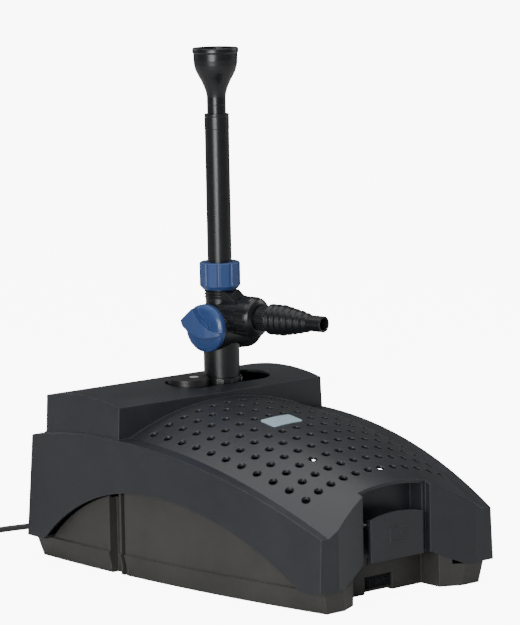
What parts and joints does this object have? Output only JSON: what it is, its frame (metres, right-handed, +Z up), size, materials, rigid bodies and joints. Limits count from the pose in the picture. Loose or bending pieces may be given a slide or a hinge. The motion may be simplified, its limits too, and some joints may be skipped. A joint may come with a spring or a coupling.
{
  "type": "pond fountain pump",
  "caption": "submersible pond-filter pump in a perforated housing with side outlet, regulating valve and telescopic fountain riser",
  "frame": {"origin": "on the ground under the middle of the housing", "axes": "+Z up along the fountain riser, -Y to the latch at the front, +X to the right when the latch is faced from the front looking along +Y"},
  "size_m": [0.3701, 0.6664, 0.5135],
  "materials": {
    "cover_plastic": "satin",
    "tray_plastic": "satin",
    "label_face": "matte",
    "pin_steel": "brushed",
    "coarse_sponge": "matte",
    "fine_sponge": "matte",
    "motor_resin": "satin",
    "core_steel": "brushed",
    "winding_wire": "satin",
    "seal_rubber": "matte",
    "ceramic_shaft": "polished",
    "ferrite": "satin",
    "white_plastic": "gloss",
    "window_plastic": "polished",
    "quartz": "polished",
    "tee_plastic": "satin",
    "blue_plastic": "satin",
    "cord_rubber": "matte"
  },
  "bodies": {
    "pump": {"filter_tray": "tray_plastic", "coarse_foam": "coarse_sponge", "fine_foam": "fine_sponge", "screen_plate": "motor_resin", "motor_housing": "motor_resin", "stator_core": "core_steel", "stator_windings": "winding_wire", "rear_bearing": "seal_rubber", "rotor_shaft": "ceramic_shaft", "front_bearing": "seal_rubber", "pump_chamber": "motor_resin", "chamber_seal": "seal_rubber", "chamber_screws": "pin_steel", "outlet_pipe": "tee_plastic", "outlet_seal": "seal_rubber", "intake_elbow": "motor_resin", "uvc_housing": "motor_resin", "uvc_head": "cover_plastic", "head_seal": "seal_rubber", "sight_window": "window_plastic", "quartz_sleeve": "quartz", "uvc_lamp": "white_plastic", "lamp_socket": "white_plastic", "inner_lead": "cord_rubber", "lamp_lead": "cord_rubber", "cord_gland": "cord_rubber", "mains_cord": "cord_rubber", "cord_coil": "cord_rubber", "coil_ties": "seal_rubber", "plug_body": "cord_rubber", "plug_pins": "pin_steel"},
    "cover": {"filter_cover": "cover_plastic", "name_plate": "label_face", "latch_pin": "pin_steel"},
    "latch": {"latch_clip": "cover_plastic"},
    "rotor": {"rotor_magnet": "ferrite", "rotor_bushes": "motor_resin", "impeller": "white_plastic"},
    "clamp_ring": {"outlet_ring": "tee_plastic"},
    "tee": {"tee_body": "tee_plastic", "riser_seal": "seal_rubber", "riser_tube": "tee_plastic", "side_gasket": "seal_rubber", "hose_adapter": "tee_plastic"},
    "regulator": {"valve_knob": "blue_plastic", "valve_plug": "tee_plastic", "plug_seals": "seal_rubber", "knob_screw": "pin_steel"},
    "riser_union": {"riser_nut": "blue_plastic"},
    "side_union": {"side_nut": "tee_plastic"},
    "collar": {"tube_collar": "tee_plastic", "collar_seal": "seal_rubber"},
    "telescope": {"inner_tube": "tee_plastic", "bell_nozzle": "tee_plastic", "nozzle_core": "tee_plastic"}
  },
  "joints": [
    {"name": "cover_lift", "type": "slide", "parent": "pump", "child": "cover", "axis": [0, 0, 1], "range_m": [0, 0.024]},
    {"name": "latch_swing", "type": "hinge", "parent": "cover", "child": "latch", "pos_m": [0, -0.183, 0.0726], "axis": [-1, 0, 0], "range_deg": [0, 6], "stiffness_Nm_per_rad": 0.3},
    {"name": "rotor_spin", "type": "hinge", "parent": "pump", "child": "rotor", "pos_m": [0.034, 0.078, 0.06], "axis": [1, 0, 0], "continuous": true},
    {"name": "ring_turn", "type": "hinge", "parent": "pump", "child": "clamp_ring", "pos_m": [0.034, 0.105, 0.17], "axis": [0, 0, 1], "range_deg": [0, 30]},
    {"name": "tee_swivel", "type": "hinge", "parent": "pump", "child": "tee", "pos_m": [0.034, 0.105, 0.18], "axis": [0, 0, 1], "range_deg": [-90, 90]},
    {"name": "valve_turn", "type": "hinge", "parent": "tee", "child": "regulator", "pos_m": [0.034, 0.105, 0.2295], "axis": [0.9848, 0.1736, 0], "range_deg": [0, 90]},
    {"name": "riser_nut_turn", "type": "hinge", "parent": "tee", "child": "riser_union", "pos_m": [0.034, 0.105, 0.28], "axis": [0, 0, 1], "range_deg": [0, 90]},
    {"name": "side_nut_turn", "type": "hinge", "parent": "tee", "child": "side_union", "pos_m": [0.034, 0.105, 0.241], "axis": [0.1736, -0.9848, 0], "range_deg": [0, 90]},
    {"name": "collar_turn", "type": "hinge", "parent": "tee", "child": "collar", "pos_m": [0.034, 0.105, 0.44], "axis": [0, 0, 1], "range_deg": [0, 90]},
    {"name": "riser_telescope", "type": "slide", "parent": "tee", "child": "telescope", "axis": [0, 0, 1], "range_m": [-0.012, 0.1]}
  ]
}
